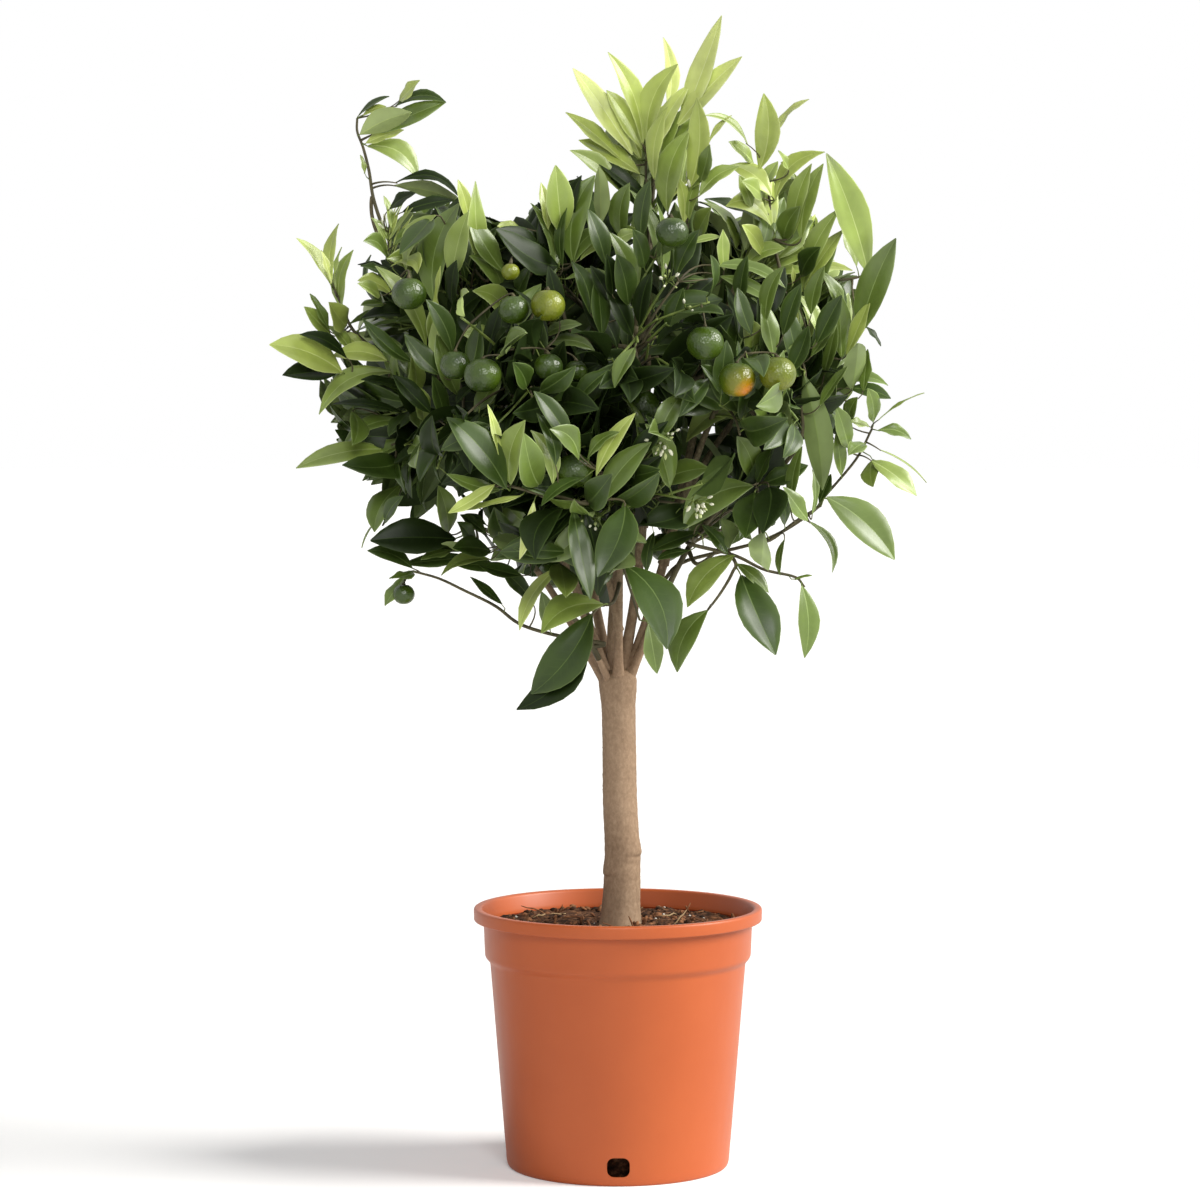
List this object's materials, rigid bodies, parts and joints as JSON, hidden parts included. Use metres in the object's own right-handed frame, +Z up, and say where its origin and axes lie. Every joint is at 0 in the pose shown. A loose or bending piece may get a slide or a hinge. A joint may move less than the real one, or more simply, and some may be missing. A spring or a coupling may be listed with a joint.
{
  "type": "calamondin orange tree in pot",
  "caption": "Young calamondin orange tree with a bare straight trunk, a round leafy crown and small green fruit, in a round plastic nursery pot.",
  "frame": {"origin": "middle of the pot's flat underside", "axes": "+Z up along the trunk, -Y towards the tree's front, +X to the right as seen from the front"},
  "size_m": [0.4428, 0.3776, 0.7864],
  "materials": {
    "pot": "terracotta coloured moulded plastic, satin",
    "compost": "dark moist potting compost with bits of bark and straw, matt",
    "bark": "smooth beige brown young bark with fine pale flecks",
    "bough": "green brown thin bark",
    "leaf": "glossy dark green leaves with paler undersides and green fruit",
    "young_leaf": "satin pale yellow green young leaves",
    "fruit": "satin pitted peel, green, ripening to yellow and orange"
  },
  "bodies": {
    "root": {"pot": "pot", "compost": "compost", "trunk": "bark", "bough_upper_left": "bough", "bough_sprig_left": "bough", "bough_lower_left": "bough", "bough_low_left": "bough", "bough_top": "bough", "bough_top_left": "bough", "bough_upper_right": "bough", "bough_right": "bough", "bough_low_right": "bough", "bough_front_low": "bough", "bough_front_left": "bough", "bough_front_middle": "bough", "bough_front_right": "bough", "bough_middle": "bough", "bough_bottom": "bough", "bough_back_left": "bough", "bough_back_right": "bough", "bough_back_low": "bough", "foliage_upper_left": "leaf", "foliage_sprig_left": "leaf", "foliage_lower_left": "leaf", "foliage_low_left": "leaf", "foliage_top": "young_leaf", "foliage_top_left": "leaf", "foliage_upper_right": "young_leaf", "foliage_right": "leaf", "foliage_low_right": "leaf", "foliage_front_low": "leaf", "foliage_front_left": "leaf", "foliage_front_middle": "leaf", "foliage_front_right": "leaf", "foliage_middle": "leaf", "foliage_bottom": "leaf", "foliage_back_left": "leaf", "foliage_back_right": "leaf", "foliage_back_low": "leaf"}
  },
  "joints": []
}
